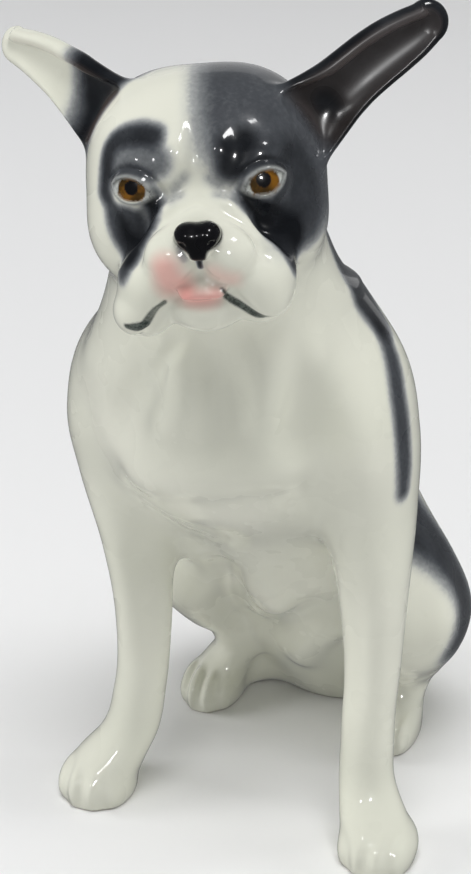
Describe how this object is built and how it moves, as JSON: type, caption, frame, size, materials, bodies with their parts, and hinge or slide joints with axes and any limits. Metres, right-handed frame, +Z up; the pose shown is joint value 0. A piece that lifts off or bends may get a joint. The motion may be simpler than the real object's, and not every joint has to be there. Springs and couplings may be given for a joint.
{
  "type": "ceramic dog figurine",
  "caption": "Seated bulldog in glazed porcelain with upright bat ears, grey painted patches and a frowning flat face.",
  "frame": {"origin": "middle of the figurine's footprint box, on the ground", "axes": "+Z up, -Y the way the dog faces, +X the dog's left"},
  "size_m": [0.1012, 0.1362, 0.2034],
  "materials": {
    "porcelain_body": "gloss",
    "porcelain_head": "gloss",
    "porcelain_ear_dark": "gloss",
    "porcelain_ear_light": "gloss"
  },
  "bodies": {
    "root": {"torso": "porcelain_body", "head": "porcelain_head", "ear_left": "porcelain_ear_dark", "ear_right": "porcelain_ear_light", "foreleg_left": "porcelain_body", "foreleg_right": "porcelain_body", "hind_leg_left": "porcelain_body", "hind_leg_right": "porcelain_body", "tail": "porcelain_body"}
  },
  "joints": []
}
